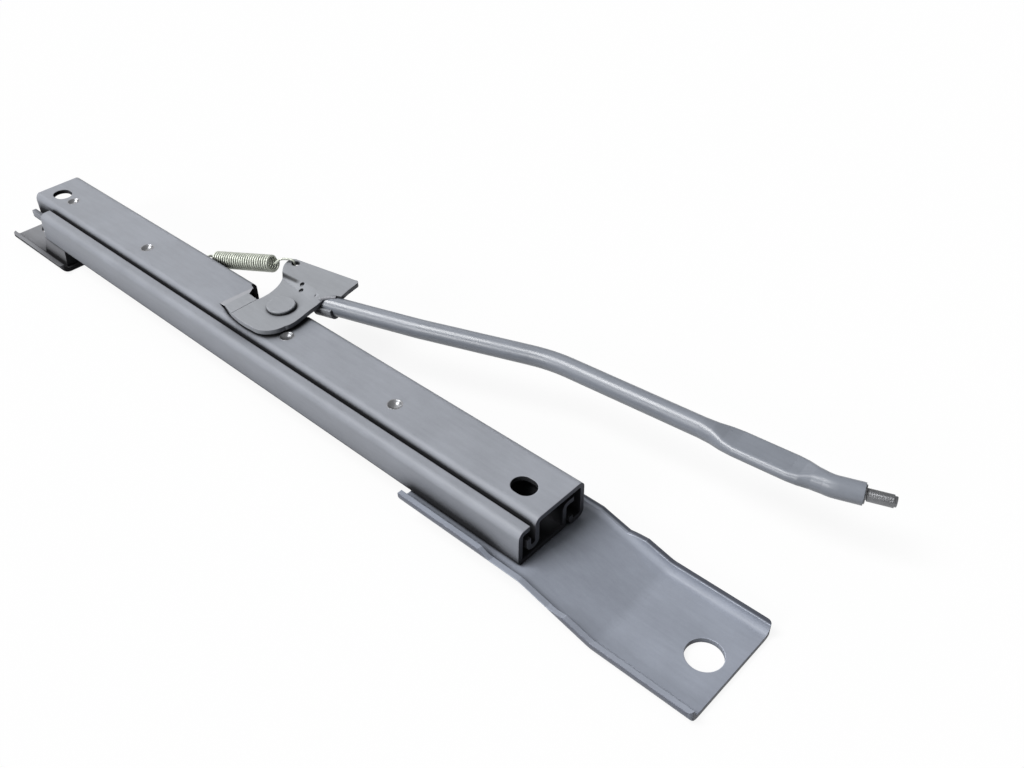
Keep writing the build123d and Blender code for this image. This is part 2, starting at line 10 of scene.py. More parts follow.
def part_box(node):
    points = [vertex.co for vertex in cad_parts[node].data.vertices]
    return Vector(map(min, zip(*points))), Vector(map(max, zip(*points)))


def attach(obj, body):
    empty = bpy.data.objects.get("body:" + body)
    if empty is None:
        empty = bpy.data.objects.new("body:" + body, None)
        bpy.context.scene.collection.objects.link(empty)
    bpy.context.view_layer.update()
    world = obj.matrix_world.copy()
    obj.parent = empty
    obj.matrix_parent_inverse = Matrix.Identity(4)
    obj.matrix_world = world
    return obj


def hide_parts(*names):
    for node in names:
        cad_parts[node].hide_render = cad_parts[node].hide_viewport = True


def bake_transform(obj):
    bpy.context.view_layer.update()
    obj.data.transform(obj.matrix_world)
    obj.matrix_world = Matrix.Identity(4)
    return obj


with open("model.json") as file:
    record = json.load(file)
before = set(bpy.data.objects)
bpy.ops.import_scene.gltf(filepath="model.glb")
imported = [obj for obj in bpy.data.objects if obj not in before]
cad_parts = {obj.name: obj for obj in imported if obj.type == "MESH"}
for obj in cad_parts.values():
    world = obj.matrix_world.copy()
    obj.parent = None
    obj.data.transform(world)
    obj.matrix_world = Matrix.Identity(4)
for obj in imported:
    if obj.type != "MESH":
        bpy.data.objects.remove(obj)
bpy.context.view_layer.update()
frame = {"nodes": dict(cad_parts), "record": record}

bl_info = {
    "name": "Seat Slide Rail Dressing",
    "version": (1, 0, 0),
    "blender": (4, 5, 0),
    "location": "3D View > Sidebar > Slide Rail",
    "description": "Finishes, spring, weld, thread and studio for a seat slide rail",
    "category": "Object",
}

NODES = frame["nodes"]

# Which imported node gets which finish.
RAIL_NODES = ("lower_rail", "upper_rail")
LEVER_NODES = ("lever_plate", "lock_comb", "tube_saddle")
HANDLE_NODES = ("handle_tube",)
RIVET_NODES = (
    "front_bracket_rear_rivet",
    "front_bracket_front_rivet",
    "rear_bracket_rear_rivet",
    "rear_bracket_front_rivet",
)
STEEL_NODES = ("rear_roller", "front_roller", "pivot_washer", "handle_insert")

MM = 0.001

# The two feet have tints of their own.
FRONT_FOOT_TINT = (0.305, 0.331, 0.390)
REAR_FOOT_TINT = (0.235, 0.240, 0.258)

# What sets the paints apart. The recess and gap shades are the reach of the look around, in metres, and the
# openness below which shade is painted dark and above which the paint is clear.
RAIL_LOOK = {"gloss": 0.48, "edge_wear_and_glint_gain": 1.35, "recess_shade": (0.028, 0.60, 0.96), "gap_shade": (0.006, 0.60, 0.82)}
# The front foot's high edge gain paints glints on its rims' edges as well as wear.
FRONT_FOOT_LOOK = {"gloss": 0.42, "edge_wear_and_glint_gain": 1.85, "recess_shade": (0.016, 0.16, 0.52), "shaded_rims": True}
REAR_FOOT_LOOK = {"gloss": 0.50, "edge_wear_and_glint_gain": 1.40, "recess_shade": (0.020, 0.45, 0.90)}
LEVER_LOOK = {"gloss": 0.44, "edge_wear_and_glint_gain": 1.30, "recess_shade": (0.004, 0.48, 0.86), "shaded_step": True}
RIVET_LOOK = {"gloss": 0.44, "edge_wear_and_glint_gain": 0.90, "recess_shade": (0.003, 0.66, 0.95)}
HANDLE_LOOK = {
    "gloss": 0.30,
    "edge_wear_and_glint_gain": 1.15,
    "recess_shade": (0.006, 0.25, 0.70),
    "shine": 0.70,
    "grit": 0.15,
}
# Painted shade between the spring's turns: reach, and the openness below which it is dark and above which
# clear.
WIRE_RECESS_SHADE = (0.004, 0.40, 0.74)
BOWL_GAIN = 1.6

# How far a finish's darker and lighter tones and marks lie from its colour.
PAINT_TONES = (0.90, 1.08)
WIRE_TONES = (0.75, 1.1)
STEEL_TONES = (0.8, 1.15)
SCUFF_GAIN = 1.35
STEEL_EDGE_GAIN = 1.8

# Greys that paint shade in recesses, on faces that look forward, on the foot's rims and in the crease.
RECESS_SHADE_GREY = 0.045
WIRE_SHADE_GREY = 0.06
FORWARD_SHADE_GREY = 0.42
LEFT_RIM_SHADE_GREY = 0.50
RIGHT_RIM_SHADE_GREY = 0.26
CREASE_SHADE_GREY = 0.10

# Heights of the finishes' grain, in metres.
PAINT_GRAIN = 0.00004
WIRE_GRAIN = 0.00003
STEEL_GRAIN = 0.00002

# The outer sides of the front foot's rims, and where their painted dark bands of shade start and are full, in
# metres.
FOOT_LEFT = -0.0257
FOOT_RIGHT = 0.0313
LEFT_BAND = (0.0004, 0.0001)
RIGHT_BAND = (-0.0024, -0.0016)

# The crease beside the lever's step, along which shade is painted, and the ramp's toe where it meets the
# rail: plan points on the rail's top and then on the ramp, in metres.
CREASE_START = Vector((0.2020, 0.0315))
CREASE_END = Vector((0.2205, 0.0325))
CREASE_WIDTH = 0.0013
TOE_ON_RAIL = ((0.1957, -0.0031), (0.1974, 0.0175))
TOE_ON_RAMP = ((0.2012, 0.0125), (0.2008, -0.0034))
TOE_LIFT = 0.05 * MM
TOE_RISE = 0.0008
TOE_THICKNESS = 0.04 * MM
TOE_ROUNDING = 0.015 * MM

# Where the coil's two ends are, the hole that anchors its rear hook, and the lever's eye, in metres.
COIL_REAR = Vector((0.1508, 0.0265, 0.0275))
COIL_FRONT = Vector((0.1916, 0.0363, 0.0372))
ANCHOR_HEIGHT = 0.0294
ANCHOR_YS = (0.0252, 0.0222)
EYE_UNDERSIDE = 0.0364

# The weld bead's path and width as shares of its CAD box, and its ripples.
BEAD_PATH = ((0.12, 0.05, 0.45), (0.25, 0.45, 0.50), (0.80, 0.92, 0.50))
BEAD_SHARE = 0.85
BEAD_RING = 8
BEAD_RIPPLE = 0.00012

# The stud: how deep it sits in the plug, the thread's depth and ridge as shares of the pitch and of
# that depth, where the thread starts, and what it leaves bare.
STUD_BURIED = 10 * MM
THREAD_DEPTH = 0.55
RIDGE_SHARE = 1.15
THREAD_START = 0.4 * MM
THREAD_BARE = 1.2 * MM
CHAMFER_SHARE = 0.8
TURN_STEPS = 28

# The stops pressed in the upper rail's top: their places, the top's height, and the bowl's
# section as radius and depth, in metres.
STOP_XS = (0.036, 0.118, 0.246, 0.326)
STOP_Y = 0.0023
RAIL_TOP = 0.0334
BOWL = (
    (0.00390, -0.00004),
    (0.00370, 0.00008),
    (0.00342, 0.00006),
    (0.00310, -0.00030),
    (0.00250, -0.00092),
    (0.00180, -0.00136),
    (0.00110, -0.00162),
    (0.00050, -0.00172),
)

# Lamps: direction, share of the key lamp's strength, and softness in degrees.
LAMPS = (
    ("key_lamp", (-0.36, -0.40, 0.85), 1.0, 30.0),
    ("low_lamp", (-0.10, -0.90, 0.42), 0.37, 22.0),
    ("rear_lamp", (-0.80, 0.30, 0.52), 0.17, 45.0),
)
ROOM_IN_GLOSS = 0.40

# The studio floor: its size and height, in metres, and how much of its white is light of its own.
FLOOR_SIZE = 12.0
FLOOR_HEIGHT = -0.0002
FLOOR_GLOW = 0.9

# Where the camera stands, in metres, and how far its frame is shifted.
CAMERA_PLACE = Vector((0.61628, -0.23127, 0.34520))
CAMERA_SHIFT = (0.02056, -0.01512)


# Properties


class RailFinishSettings(PropertyGroup):
    """Colours and wear of the rail's finishes."""

    rail_colour: FloatVectorProperty(
        name="Rail paint",
        description="Colour of the paint on both rails",
        subtype="COLOR",
        default=(0.325, 0.342, 0.382),
        min=0.0,
        max=1.0,
    )
    lever_colour: FloatVectorProperty(
        name="Lever paint",
        description="Colour of the paint on the lever and its pivot",
        subtype="COLOR",
        default=(0.335, 0.350, 0.378),
        min=0.0,
        max=1.0,
    )
    handle_colour: FloatVectorProperty(
        name="Handle paint",
        description="Colour of the glossier paint on the handle",
        subtype="COLOR",
        default=(0.236, 0.256, 0.296),
        min=0.0,
        max=1.0,
    )
    zinc_colour: FloatVectorProperty(
        name="Spring plating",
        description="Colour of the plating on the return spring",
        subtype="COLOR",
        default=(0.80, 0.84, 0.74),
        min=0.0,
        max=1.0,
    )
    steel_colour: FloatVectorProperty(
        name="Bare steel",
        description="Colour of the rollers, foot rivets, washer, plug and stud; the bowls are lighter",
        subtype="COLOR",
        default=(0.200, 0.203, 0.212),
        min=0.0,
        max=1.0,
    )
    # The edges' lighter look is partly wear and partly painted glints.
    edge_width: FloatProperty(
        name="Edge width",
        description="How far the worn, rounded look reaches in from an edge",
        subtype="DISTANCE",
        unit="LENGTH",
        default=0.0006,
        min=0.0,
        max=0.003,
    )


class ReturnSpringSettings(PropertyGroup):
    """Sizes of the return spring."""

    wire: FloatProperty(
        name="Wire",
        description="Diameter of the spring's wire",
        subtype="DISTANCE",
        unit="LENGTH",
        default=0.0013,
        min=0.0005,
        max=0.003,
    )
    width: FloatProperty(
        name="Coil width",
        description="Outer diameter of the coil",
        subtype="DISTANCE",
        unit="LENGTH",
        default=0.0098,
        min=0.004,
        max=0.02,
    )
    turns: IntProperty(
        name="Turns",
        description="Number of turns of wire",
        default=25,
        min=5,
        max=40,
    )


class HandleStudSettings(PropertyGroup):
    """Sizes of the thread on the handle's stud."""

    width: FloatProperty(
        name="Stud width",
        description="Outer diameter of the thread",
        subtype="DISTANCE",
        unit="LENGTH",
        default=0.0057,
        min=0.003,
        max=0.01,
    )
    pitch: FloatProperty(
        name="Pitch",
        description="Distance between two turns of the thread",
        subtype="DISTANCE",
        unit="LENGTH",
        default=0.0009,
        min=0.0004,
        max=0.002,
    )


class RailStudioSettings(PropertyGroup):
    """Camera and lamps of the studio."""

    lens: FloatProperty(
        name="Lens",
        description="Focal length of the camera on a 36 mm sensor",
        unit="CAMERA",
        default=36.820,
        min=10.0,
        max=200.0,
    )
    azimuth: FloatProperty(
        name="Azimuth",
        description="Turn of the camera from the rail's front towards its left side",
        subtype="ANGLE",
        unit="ROTATION",
        default=math.radians(45.738),
    )
    elevation: FloatProperty(
        name="Elevation",
        description="Height angle of the camera above the floor",
        subtype="ANGLE",
        unit="ROTATION",
        default=math.radians(38.340),
    )
    roll: FloatProperty(
        name="Roll",
        description="Tilt of the camera about its own axis",
        subtype="ANGLE",
        unit="ROTATION",
        default=math.radians(1.781),
    )
    key: FloatProperty(
        name="Key lamp",
        description="Strength of the main lamp, above the rail's left side",
        default=2.6,
        min=0.0,
        max=10.0,
    )
    fill: FloatProperty(
        name="Room light",
        description="Strength of the even light from all round",
        default=0.08,
        min=0.0,
        max=2.0,
    )


# Shader node groups that several finishes share


def new_group(name, inputs, outputs):
    """Empty shader node group with its sockets."""
    group = bpy.data.node_groups.new(name, "ShaderNodeTree")
    for socket, kind, value in inputs:
        group.interface.new_socket(socket, in_out="INPUT", socket_type=kind).default_value = value
    for socket, kind in outputs:
        group.interface.new_socket(socket, in_out="OUTPUT", socket_type=kind)
    source = group.nodes.new("NodeGroupInput")
    result = group.nodes.new("NodeGroupOutput")
    return group, source, result


def math_node(tree, operation, first, second=None, clamp=False):
    """Math node whose inputs are sockets or numbers."""
    node = tree.nodes.new("ShaderNodeMath")
    node.operation = operation
    node.use_clamp = clamp
    for place, value in enumerate((first, second)):
        if value is None:
            continue
        if isinstance(value, (int, float)):
            node.inputs[place].default_value = value
        else:
            tree.links.new(value, node.inputs[place])
    return node.outputs[0]


def times(tree, first, second):
    """Product of sockets or numbers."""
    return math_node(tree, "MULTIPLY", first, second)


def plus(tree, first, second):
    """Sum of sockets or numbers, clamped to 0 and 1."""
    return math_node(tree, "ADD", first, second, clamp=True)


def parts_of(tree, vector):
    """The X, Y and Z outputs of a vector."""
    node = tree.nodes.new("ShaderNodeSeparateXYZ")
    tree.links.new(vector, node.inputs["Vector"])
    return node.outputs


def coordinates(tree, kind="Object"):
    """Coordinates fixed to the object."""
    return tree.nodes.new("ShaderNodeTexCoord").outputs[kind]


def colours_of(sockets):
    """The colour sockets of a Mix node."""
    return [socket for socket in sockets if socket.type == "RGBA"]


def ranged(tree, value, from_low, from_high, to_low=0.0, to_high=1.0):
    """Map Range node, clamped."""
    node = tree.nodes.new("ShaderNodeMapRange")
    tree.links.new(value, node.inputs["Value"])
    settings = (from_low, from_high, to_low, to_high)
    for name, number in zip(("From Min", "From Max", "To Min", "To Max"), settings):
        node.inputs[name].default_value = number
    return node.outputs["Result"]


def noise(tree, vector, scale, detail, roughness=0.5):
    """Noise texture on given coordinates; scale may be a number or a socket."""
    node = tree.nodes.new("ShaderNodeTexNoise")
    tree.links.new(vector, node.inputs["Vector"])
    if isinstance(scale, (int, float)):
        node.inputs["Scale"].default_value = scale
    else:
        tree.links.new(scale, node.inputs["Scale"])
    node.inputs["Detail"].default_value = detail
    node.inputs["Roughness"].default_value = roughness
    return node.outputs["Fac"]


def edge_wear_and_glint_group():
    """Mask of edges that are painted lighter, as wear and as glints, and a normal that rounds them."""
    inputs = (("Width", "NodeSocketFloat", 0.0006), ("Breakup", "NodeSocketFloat", 400.0))
    outputs = (("Mask", "NodeSocketFloat"), ("Normal", "NodeSocketVector"))
    group, source, result = new_group("Edge wear and glint", inputs, outputs)
    bevel = group.nodes.new("ShaderNodeBevel")
    bevel.samples = 6
    group.links.new(source.outputs["Width"], bevel.inputs["Radius"])
    geometry = group.nodes.new("ShaderNodeNewGeometry")
    along = group.nodes.new("ShaderNodeVectorMath")
    along.operation = "DOT_PRODUCT"
    group.links.new(bevel.outputs["Normal"], along.inputs[0])
    group.links.new(geometry.outputs["Normal"], along.inputs[1])
    turned = ranged(group, along.outputs["Value"], 0.99, 0.86)
    patches = noise(group, coordinates(group), source.outputs["Breakup"], 3.0)
    patchy = ranged(group, patches, 0.35, 0.6, 0.35, 1.0)
    group.links.new(times(group, turned, patchy), result.inputs["Mask"])
    group.links.new(bevel.outputs["Normal"], result.inputs["Normal"])
    return group


def sheet_grain_group():
    """Cloudy tone, fine orange-peel height and gloss changes of painted sheet."""
    inputs = (
        ("Cloud scale", "NodeSocketFloat", 45.0),
        ("Grain scale", "NodeSocketFloat", 1400.0),
    )
    outputs = (("Tone", "NodeSocketFloat"), ("Height", "NodeSocketFloat"), ("Gloss", "NodeSocketFloat"))
    group, source, result = new_group("Sheet grain", inputs, outputs)
    spot = coordinates(group)
    cloud = noise(group, spot, source.outputs["Cloud scale"], 4.0, 0.55)
    grain = noise(group, spot, source.outputs["Grain scale"], 2.0, 0.6)
    rolled = group.nodes.new("ShaderNodeMapping")
    rolled.inputs["Scale"].default_value = (0.12, 1.0, 1.0)
    group.links.new(spot, rolled.inputs["Vector"])
    streaks = noise(group, rolled.outputs["Vector"], 520.0, 3.0, 0.6)
    tone = plus(group, times(group, cloud, 0.55), times(group, streaks, 0.3))
    tone = plus(group, tone, times(group, grain, 0.15))
    height = plus(group, times(group, grain, 0.7), times(group, streaks, 0.3))
    group.links.new(tone, result.inputs["Tone"])
    group.links.new(height, result.inputs["Height"])
    group.links.new(cloud, result.inputs["Gloss"])
    return group


def scuff_group():
    """Sparse fine scratches and specks."""
    inputs = (("Scale", "NodeSocketFloat", 160.0), ("Amount", "NodeSocketFloat", 0.5))
    outputs = (("Mask", "NodeSocketFloat"),)
    group, source, result = new_group("Scuffs", inputs, outputs)
    spot = coordinates(group)
    bent = group.nodes.new("ShaderNodeMapping")
    bent.inputs["Rotation"].default_value = (0.0, 0.0, 0.5)
    bent.inputs["Scale"].default_value = (0.25, 2.2, 1.0)
    group.links.new(spot, bent.inputs["Vector"])
    lines = noise(group, bent.outputs["Vector"], source.outputs["Scale"], 5.0, 0.7)
    thin = ranged(group, lines, 0.66, 0.72)
    patches = ranged(group, noise(group, spot, 38.0, 2.0), 0.5, 0.66)
    mask = times(group, times(group, thin, patches), source.outputs["Amount"])
    group.links.new(mask, result.inputs["Mask"])
    return group


# Materials


class Finish:
    """A material under way: its tree, its Principled shader and a few building steps."""

    def __init__(self, name):
        self.material = bpy.data.materials.new(name)
        self.material.use_nodes = True
        self.tree = self.material.node_tree
        self.shader = self.tree.nodes["Principled BSDF"]

    def link(self, output, socket):
        """Joins an output to a socket."""
        self.tree.links.new(output, socket)

    def group(self, name, **values):
        """One of the shared groups, with its own values."""
        node = self.tree.nodes.new("ShaderNodeGroup")
        node.node_tree = bpy.data.node_groups[name]
        for socket, value in values.items():
            node.inputs[socket.replace("_", " ")].default_value = value
        return node

    def mix(self, mask, first, second):
        """Colour mixed by a mask; each colour is a socket or a tuple."""
        node = self.tree.nodes.new("ShaderNodeMix")
        node.data_type = "RGBA"
        self.link(mask, node.inputs[0])
        for socket, colour in zip(colours_of(node.inputs), (first, second)):
            if isinstance(colour, tuple):
                socket.default_value = (*colour, 1.0)
            else:
                self.link(colour, socket)
        return colours_of(node.outputs)[0]

    def openness(self, reach, closed, clear):
        """Mask that is 0 in gaps, corners and hollows and 1 on open faces; shade is painted where it is low.
        """
        node = self.tree.nodes.new("ShaderNodeAmbientOcclusion")
        node.samples = 12
        node.inputs["Distance"].default_value = reach
        return ranged(self.tree, node.outputs["AO"], closed, clear)

    def darker(self, colour, factor):
        """A colour socket multiplied by a slightly blue grey, to paint shade."""
        node = self.tree.nodes.new("ShaderNodeMix")
        node.data_type = "RGBA"
        node.blend_type = "MULTIPLY"
        node.inputs[0].default_value = 1.0
        first, second = colours_of(node.inputs)
        self.link(colour, first)
        second.default_value = (factor, factor, factor * 1.06, 1.0)
        return colours_of(node.outputs)[0]

    def toned(self, tone, low, high, colour, tones):
        """A colour between its darker and its lighter tone."""
        return self.mix(ranged(self.tree, tone, low, high), *(shade(colour, gain) for gain in tones))

    def bump(self, height, normal, distance, strength):
        """Bump node on top of a given normal."""
        node = self.tree.nodes.new("ShaderNodeBump")
        node.inputs["Distance"].default_value = distance
        node.inputs["Strength"].default_value = strength
        self.link(height, node.inputs["Height"])
        if normal is not None:
            self.link(normal, node.inputs["Normal"])
        self.link(node.outputs["Normal"], self.shader.inputs["Normal"])


def shade(colour, factor):
    """A colour made lighter or darker."""
    return tuple(min(1.0, part * factor) for part in colour)


def painted_sheet(
    name,
    colour,
    edge_width,
    gloss,
    edge_wear_and_glint_gain,
    recess_shade,
    gap_shade=None,
    shaded_step=False,
    shaded_rims=False,
    shine=0.30,
    grit=0.6,
):
    """Satin paint on pressed sheet: cloudy tone, fine grain, edges painted lighter as wear and glints, and
    painted shade in recesses, gaps and on forward faces, and on the rims and along the step where asked.
    """
    finish = Finish(name)
    tree, shader = finish.tree, finish.shader
    wear_and_glint = finish.group("Edge wear and glint", Width=edge_width)
    grain = finish.group("Sheet grain")
    scuffs = finish.group("Scuffs")
    paint = finish.toned(grain.outputs["Tone"], 0.36, 0.64, colour, PAINT_TONES)
    paint = finish.mix(scuffs.outputs["Mask"], paint, shade(colour, SCUFF_GAIN))
    # Edges painted lighter: wear, and painted glints.
    paint = finish.mix(wear_and_glint.outputs["Mask"], paint, shade(colour, edge_wear_and_glint_gain))
    if shaded_step:
        # Painted shade along the crease beside the lever's step.
        crease_shade = line_mask(tree, CREASE_START, CREASE_END, CREASE_WIDTH)
        paint = finish.mix(crease_shade, paint, shade(colour, CREASE_SHADE_GREY))
    # Painted shade on faces that look forward.
    paint = finish.mix(forward_shade_mask(tree), paint, finish.darker(paint, FORWARD_SHADE_GREY))
    # Painted shade on the outer sides of the front foot's rims.
    if shaded_rims:
        paint = rim_shades(finish, paint)
    # Painted shade: the paint goes dark where the look around is closed, in recesses and gaps.
    unshaded = finish.openness(*recess_shade)
    if gap_shade:
        unshaded = times(tree, unshaded, finish.openness(*gap_shade))
    finish.link(finish.mix(unshaded, finish.darker(paint, RECESS_SHADE_GREY), paint), shader.inputs["Base Color"])
    rough = ranged(tree, grain.outputs["Gloss"], 0.3, 0.7, gloss - 0.05, gloss + 0.08)
    dull = ranged(tree, unshaded, 0.0, 1.0, 0.5, 0.0)
    worn = times(tree, wear_and_glint.outputs["Mask"], -0.12)
    finish.link(plus(tree, plus(tree, rough, dull), worn), shader.inputs["Roughness"])
    shader.inputs["Specular IOR Level"].default_value = shine
    normal = wear_and_glint.outputs["Normal"]
    if shaded_step:
        normal = level_slopes(finish, normal)
    finish.bump(grain.outputs["Height"], normal, PAINT_GRAIN, grit)
    return finish.material


def forward_shade_mask(tree):
    """Mask of faces that look forward along the rail, on which shade is painted."""
    return ranged(tree, parts_of(tree, coordinates(tree, "Normal"))["X"], 0.90, 0.98)


def rim_shades(finish, colour):
    """Paints shade on the outer sides of the front foot's two rims."""
    across = parts_of(finish.tree, coordinates(finish.tree))["Y"]
    left = ranged(finish.tree, across, *(FOOT_LEFT + step for step in LEFT_BAND))
    right = ranged(finish.tree, across, *(FOOT_RIGHT + step for step in RIGHT_BAND))
    colour = finish.mix(left, colour, finish.darker(colour, LEFT_RIM_SHADE_GREY))
    return finish.mix(right, colour, finish.darker(colour, RIGHT_RIM_SHADE_GREY))


def line_mask(tree, start, end, width):
    """Mask of a soft band along a line in plan, on object coordinates."""
    run = end - start
    turned = tree.nodes.new("ShaderNodeMapping")
    turned.vector_type = "TEXTURE"
    turned.inputs["Location"].default_value = (*start, 0.0)
    turned.inputs["Rotation"].default_value = (0.0, 0.0, math.atan2(run.y, run.x))
    tree.links.new(coordinates(tree), turned.inputs["Vector"])
    parts = parts_of(tree, turned.outputs["Vector"])
    aside = ranged(tree, math_node(tree, "ABSOLUTE", parts["Y"]), width * 0.3, width, 1.0, 0.0)
    ahead = ranged(tree, parts["X"], run.length * 0.80, run.length, 1.0, 0.0)
    return times(tree, aside, ahead)


def level_slopes(finish, normal):
    """Shades gentle slopes almost as if level, so that they hardly stand out."""
    parts = parts_of(finish.tree, normal)
    keep = ranged(finish.tree, parts["Z"], 0.90, 0.965, 1.0, 0.12)
    joined = finish.tree.nodes.new("ShaderNodeCombineXYZ")
    finish.link(times(finish.tree, parts["X"], keep), joined.inputs["X"])
    finish.link(times(finish.tree, parts["Y"], keep), joined.inputs["Y"])
    finish.link(parts["Z"], joined.inputs["Z"])
    unit = finish.tree.nodes.new("ShaderNodeVectorMath")
    unit.operation = "NORMALIZE"
    finish.link(joined.outputs["Vector"], unit.inputs[0])
    return unit.outputs["Vector"]


def plated_wire(name, colour):
    """Dull zinc plating on wire, with darker blotches and painted shade between the turns."""
    finish = Finish(name)
    shader = finish.shader
    grain = finish.group("Sheet grain", Cloud_scale=260.0, Grain_scale=2600.0)
    plated = finish.toned(grain.outputs["Tone"], 0.35, 0.65, colour, WIRE_TONES)
    shaded = finish.darker(plated, WIRE_SHADE_GREY)
    finish.link(finish.mix(finish.openness(*WIRE_RECESS_SHADE), shaded, plated), shader.inputs["Base Color"])
    finish.link(ranged(finish.tree, grain.outputs["Gloss"], 0.3, 0.7, 0.3, 0.48), shader.inputs["Roughness"])
    shader.inputs["Metallic"].default_value = 0.25
    finish.bump(grain.outputs["Height"], None, WIRE_GRAIN, 0.5)
    return finish.material


def turned_steel(name, colour, edge_width):
    """Bare steel with fine marks and lighter edges."""
    finish = Finish(name)
    shader = finish.shader
    wear_and_glint = finish.group("Edge wear and glint", Width=edge_width)
    grain = finish.group("Sheet grain", Cloud_scale=180.0, Grain_scale=3200.0)
    base = finish.toned(grain.outputs["Tone"], 0.35, 0.65, colour, STEEL_TONES)
    edged = finish.mix(wear_and_glint.outputs["Mask"], base, shade(colour, STEEL_EDGE_GAIN))
    finish.link(edged, shader.inputs["Base Color"])
    finish.link(ranged(finish.tree, grain.outputs["Gloss"], 0.3, 0.7, 0.26, 0.42), shader.inputs["Roughness"])
    shader.inputs["Metallic"].default_value = 0.8
    finish.bump(grain.outputs["Height"], wear_and_glint.outputs["Normal"], STEEL_GRAIN, 0.5)
    return finish.material


def coat(piece, material):
    """Gives a piece one material."""
    piece.data.materials.clear()
    piece.data.materials.append(material)


def wear_finish(names, material):
    """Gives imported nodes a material."""
    for name in names:
        coat(NODES[name], material)


# Modelling steps


def deselect_all():
    """Nothing is selected and nothing is active."""
    bpy.ops.object.select_all(action="DESELECT")


def choose(*pieces):
    """Selects pieces; the first is the active one."""
    deselect_all()
    for piece in pieces:
        piece.select_set(True)
    bpy.context.view_layer.objects.active = pieces[0]


def named(name):
    """The piece just added, with its name."""
    piece = bpy.context.active_object
    piece.name = name
    piece.data.name = name
    return piece


def apply_modifier(piece, kind, **settings):
    """Adds a modifier with its settings and applies it."""
    modifier = piece.modifiers.new(kind.title(), kind)
    for key, value in settings.items():
        setattr(modifier, key, value)
    choose(piece)
    bpy.ops.object.modifier_apply(modifier=modifier.name)


def edit(piece, *steps):
    """Runs modelling steps on the whole piece in edit mode."""
    choose(piece)
    bpy.ops.object.mode_set(mode="EDIT")
    bpy.ops.mesh.select_all(action="SELECT")
    for step in steps:
        step()
    bpy.ops.object.mode_set(mode="OBJECT")


def close_ends():
    """Fills the open ends of a tube."""
    bpy.ops.mesh.select_all(action="DESELECT")
    bpy.ops.mesh.select_non_manifold(extend=False)
    bpy.ops.mesh.fill_holes(sides=0)
    bpy.ops.mesh.select_all(action="SELECT")


def outward():
    """Merges doubles and turns every face outwards."""
    bpy.ops.mesh.remove_doubles(threshold=0.00001)
    bpy.ops.mesh.normals_make_consistent(inside=False)


def place(piece, matrix):
    """Moves a finished mesh to its place and leaves the object at the origin."""
    piece.matrix_world = matrix @ piece.matrix_world
    choose(piece)
    bpy.ops.object.transform_apply(location=True, rotation=True, scale=True)


def bent_wire(name, points, dia):
    """Wire along a smooth path, as a closed mesh tube."""
    deselect_all()
    bpy.ops.curve.primitive_nurbs_path_add(location=(0, 0, 0))
    path = named(name)
    path.data.splines.clear()
    spline = path.data.splines.new("NURBS")
    spline.points.add(len(points) - 1)
    for point, target in zip(spline.points, points):
        point.co = (*target, 1.0)
    spline.order_u = 3
    spline.use_endpoint_u = True
    spline.resolution_u = 8
    path.data.dimensions = "3D"
    path.data.bevel_depth = dia / 2
    path.data.bevel_resolution = 3
    path.data.use_fill_caps = True
    choose(path)
    bpy.ops.object.convert(target="MESH")
    wire = named(name)
    edit(wire, outward)
    return wire


def aimed(start, end):
    """Matrix at start whose Z axis points at end."""
    ahead = (end - start).normalized()
    return Matrix.Translation(start) @ ahead.to_track_quat("Z", "Y").to_matrix().to_4x4()


# Operators


class RAIL_OT_finishes(Operator):
    """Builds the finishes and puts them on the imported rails, feet, lever and handle"""

    bl_idname = "slide_rail.finishes"
    bl_label = "Rail Finishes"

    def execute(self, context):
        settings = context.scene.slide_rail_finish
        edge_wear_and_glint_group()
        sheet_grain_group()
        scuff_group()
        width = settings.edge_width
        paints = (
            (RAIL_NODES, "rail_paint", settings.rail_colour, RAIL_LOOK),
            (("front_bracket",), "foot_paint", FRONT_FOOT_TINT, FRONT_FOOT_LOOK),
            (("rear_bracket",), "rear_foot_paint", REAR_FOOT_TINT, REAR_FOOT_LOOK),
            (LEVER_NODES, "lever_paint", settings.lever_colour, LEVER_LOOK),
            (("pivot_rivet",), "rivet_paint", settings.lever_colour, RIVET_LOOK),
            (HANDLE_NODES, "handle_paint", settings.handle_colour, HANDLE_LOOK),
        )
        for nodes, name, colour, look in paints:
            wear_finish(nodes, painted_sheet(name, tuple(colour), width, **look))
        steel = turned_steel("turned_steel", tuple(settings.steel_colour), width)
        wear_finish(RIVET_NODES + STEEL_NODES, steel)
        turned_steel("bowl_steel", shade(settings.steel_colour, BOWL_GAIN), width)
        return {"FINISHED"}


